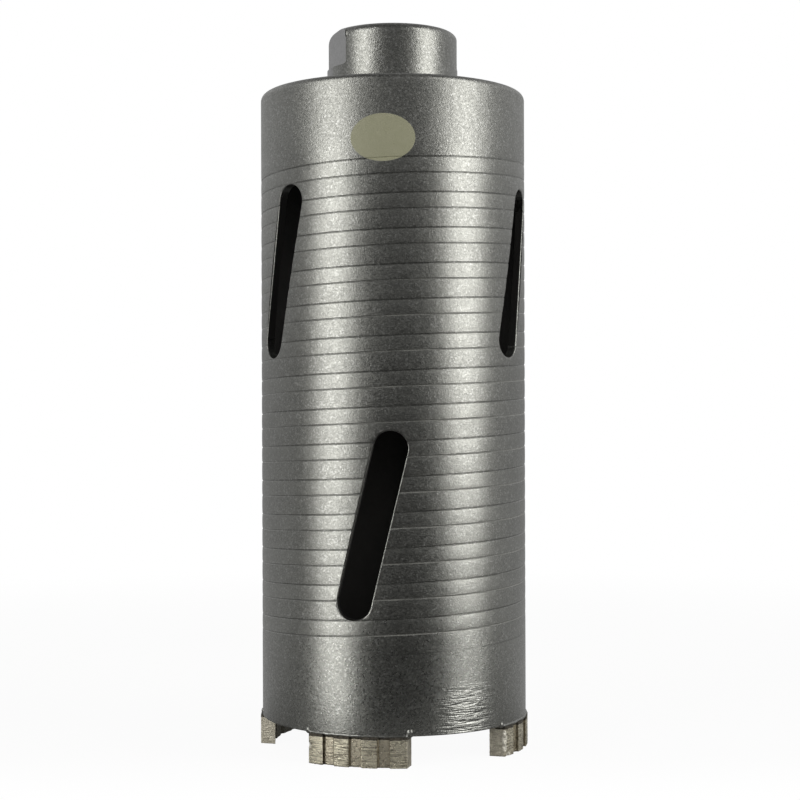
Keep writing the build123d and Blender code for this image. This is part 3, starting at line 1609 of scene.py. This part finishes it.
    def _weld(self) -> Workpiece:
        """A bead of weld round the top of one segment, in front of the axis.

        Returns:
            The bead.
        """
        half = self.length / 2
        parts = []
        for face, sink in zip((self.barrel_radius, self.bore), self.bead_sinks):
            ring = Workpiece.primitive(
                "weld_bead", "torus", major_radius=face - sink, minor_radius=self.bead,
                major_segments=self.bead_faces[0], minor_segments=self.bead_faces[1],
                location=(0, 0, self.height + self.bead_lift),
            )
            with ring.editing():
                for way in (1, -1):
                    ring.trim((way * half, 0, 0), (way, 0, 0))
                ring.trim((0, 0, 0), (0, 1, 0))
            parts.append(ring)
        for side, lift in zip((-1, 1), self.blob_lifts):
            across = side * (half + self.bead_past_end)
            near, far = (
                -math.sqrt(radius**2 - across**2)
                for radius in (self.barrel_radius - self.bead_end_sink, self.bore)
            )
            parts.append(Workpiece.primitive(
                "weld_bead", "cylinder", vertices=16, radius=self.bead, depth=far - near,
                rotation=(math.pi / 2, 0, 0), location=(across, (near + far) / 2, self.height),
            ))
            parts.append(Workpiece.primitive(
                "weld_bead", "ico_sphere", subdivisions=3, radius=self.blob,
                location=(across, near + self.blob_sink, self.height + lift),
                scale=self.blob_shape,
            ))
        bead = parts[0]
        bead.join(*parts[1:])
        bead.melt(self.bead_voxel, self.wear)
        return bead

    def build(self) -> None:
        """Presses, wears and dresses the segments, and lays their beads."""
        paint = MetallicPaint("weld_paint", grain_height=0.03 * MM).make()
        order = {face: index for index, face in enumerate(SegmentFace)}
        blank, weld = self._blank(), self._weld()
        for index, lean in enumerate(self.leans):
            azimuth = self.first_azimuth + index * 360 / len(self.leans) + lean
            segment = blank.copy(f"ground_segment_{index + 1}")
            breaks = self._wear(segment, index + 1)
            segment.dress(
                self._coats(index + 1), lambda p, n, breaks=breaks: order[self._kind(p, n, breaks)]
            )
            segment.polish(self.smooth_angle, weighted=False)
            segment.turned(azimuth).hand_over(Slot.SEGMENT, f"segment_{index + 1}")
            bead = weld.copy(f"weld_{index + 1}")
            bead.roughen(*self.bead_relief, seed=azimuth * MM)
            bead.dress([paint])
            bead.polish(self.smooth_angle, weighted=False)
            bead.turned(azimuth).hand_over(Slot.BARREL)
        for made in (blank, weld):
            bpy.data.objects.remove(made.shape)


# ---------------------------------------------------------------- the studio


@dataclass
class Camera:
    """A camera square to the bit, a little above its middle."""

    distance: float = 416.0 * MM
    height: float = 82.4 * MM
    lens: float = 76.68
    sensor: float = 36.0
    yaw: float = 0.2213
    pitch: float = -0.1607
    roll: float = -0.1772
    shift: float = 0.01
    nearest: float = 10.0 * MM

    def build(self) -> None:
        """Makes the camera and sets it as the scene's."""
        camera = bpy.data.objects.new("camera", bpy.data.cameras.new("camera"))
        bpy.context.scene.collection.objects.link(camera)
        camera.data.lens = self.lens
        camera.data.sensor_width = self.sensor
        camera.data.shift_y = self.shift
        camera.data.clip_start = self.nearest
        turn = (
            Matrix.Rotation(-math.radians(self.yaw), 4, "Z")
            @ Matrix.Rotation(math.radians(90 + self.pitch), 4, "X")
            @ Matrix.Rotation(math.radians(self.roll), 4, "Z")
        )
        camera.matrix_world = Matrix.Translation((0, -self.distance, self.height)) @ turn
        bpy.context.scene.camera = camera


@dataclass(frozen=True)
class Softbox:
    """One soft lamp, aimed at the bit from its place and height."""

    name: str
    azimuth: float
    height: float
    width: float
    radiance: float
    distance: float = 0.9
    tall: float = 1.1
    tint: Triple = (1.0, 0.995, 0.955)
    aim_base: float = 35.0 * MM
    aim_rise: float = 0.6

    def build(self) -> None:
        """Hangs the lamp."""
        lamp = bpy.data.lights.new(self.name, "AREA")
        lamp.shape = "RECTANGLE"
        lamp.size, lamp.size_y = self.width, self.tall
        lamp.energy = self.radiance * math.pi * self.width * self.tall
        lamp.color = self.tint
        holder = bpy.data.objects.new(self.name, lamp)
        bpy.context.scene.collection.objects.link(holder)
        place = around(self.azimuth, self.distance, self.height)
        aim = Vector((0, 0, self.aim_base + self.height * self.aim_rise)) - place
        holder.location = place
        holder.rotation_euler = aim.to_track_quat("-Z", "Y").to_euler()


@dataclass
class Studio:
    """Pale floor, white surroundings and soft lamps.

    The floor turns white to the camera with the square of the distance from the bit, in square
    metres, and towards its front edge. The stops give the world's level by height of direction,
    from 0 straight down to 1 straight up.
    """

    lamps: tuple[Softbox, ...] = (
        Softbox("left_lamp", azimuth=-51.5, height=0.32, width=0.44, radiance=3.4),
        Softbox("right_lamp", azimuth=63.5, height=0.46, width=0.50, radiance=3.75),
    )
    floor_front: float = 72.0 * MM
    floor_size: float = 2.4
    floor_grey: float = 0.36
    floor_pale: float = 0.9
    floor_white: float = 0.95
    white_away: Span = (0.03, 0.2)
    white_front: Span = (-10.0 * MM, -70.0 * MM)
    floor_in_metal: float = 0.3
    in_metal_limits: Span = (-20.0 * MM, 50.0 * MM)
    front_stops: tuple[Span, ...] = ((0.30, 0.0), (0.47, 0.01), (0.56, 0.11), (0.7, 0.22), (0.9, 0.06))
    back_stops: tuple[Span, ...] = ((0.30, 0.26), (0.5, 0.2), (0.6, 0.52), (0.7, 0.6), (0.9, 0.2))
    rear_limits: Span = (-0.3, 0.5)
    backdrop_share: float = 0.15

    def build(self) -> None:
        """Sets everything up that isn't part of the bit."""
        Camera().build()
        for lamp in self.lamps:
            lamp.build()
        self._floor()
        self._world()
        bpy.context.scene.view_settings.view_transform = "Standard"

    def _floor(self) -> None:
        """A pale sheet that turns to plain white away from the bit."""
        middle = (0, self.floor_size / 2 - self.floor_front, 0)
        sheet = Workpiece.primitive("floor", "plane", size=self.floor_size, location=middle)
        graph, made = Graph.material("floor_sheet")
        x, y, _ = graph.axes()
        seen, glossy = graph.rays("Camera", "Glossy")
        away = (x * x + y * y).ramp(*self.white_away).most(y.ramp(*self.white_front))
        share = seen * (self.floor_white + away * (1 - self.floor_white))
        share = share + glossy * y.ramp(*self.in_metal_limits) * self.floor_in_metal
        pale = graph.blend(seen, grey(self.floor_grey), grey(self.floor_pale))
        matt = graph.node("ShaderNodeBsdfDiffuse", inputs={"Color": pale})
        white = graph.node("ShaderNodeEmission", inputs={"Color": grey(1.0), "Strength": 1.0})
        surface = graph.node("ShaderNodeMixShader", inputs={0: share, 1: matt, 2: white})
        graph.node("ShaderNodeOutputMaterial", inputs={"Surface": surface})
        sheet.dress([made])

    def _world(self) -> None:
        """White to the camera; for light, dim in front and brighter behind."""
        world = bpy.data.worlds.new("studio")
        bpy.context.scene.world = world
        world.use_nodes = True
        graph = Graph(world.node_tree)
        _, behind, up = graph.axes("Generated")
        front, back = (
            graph.node(
                "ShaderNodeValToRGB",
                {"stops": [(place, grey(level)) for place, level in stops]},
                {"Fac": up * 0.5 + 0.5},
            )
            for stops in (self.front_stops, self.back_stops)
        )
        rear = behind.ramp(*self.rear_limits)
        room, white = (
            graph.node("ShaderNodeBackground", inputs={"Color": colour, "Strength": 1.0})
            for colour in (graph.blend(rear, front, back), grey(1.0))
        )
        seen, glossy, passed = graph.rays("Camera", "Glossy", "Transmission")
        shown = seen + passed + glossy * rear * self.backdrop_share
        mixed = graph.node("ShaderNodeMixShader", inputs={0: shown, 1: room, 2: white})
        graph.node("ShaderNodeOutputWorld", inputs={"Surface": mixed})


def main() -> None:
    """Builds the bit and its studio."""
    logging.basicConfig(level=logging.INFO, format="%(name)s: %(message)s")
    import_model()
    bpy.ops.object.select_all(action="DESELECT")
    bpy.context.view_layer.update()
    Studio().build()
    Barrel().build()
    Hub().build()
    Segments().build()


if __name__ == "__main__":
    main()
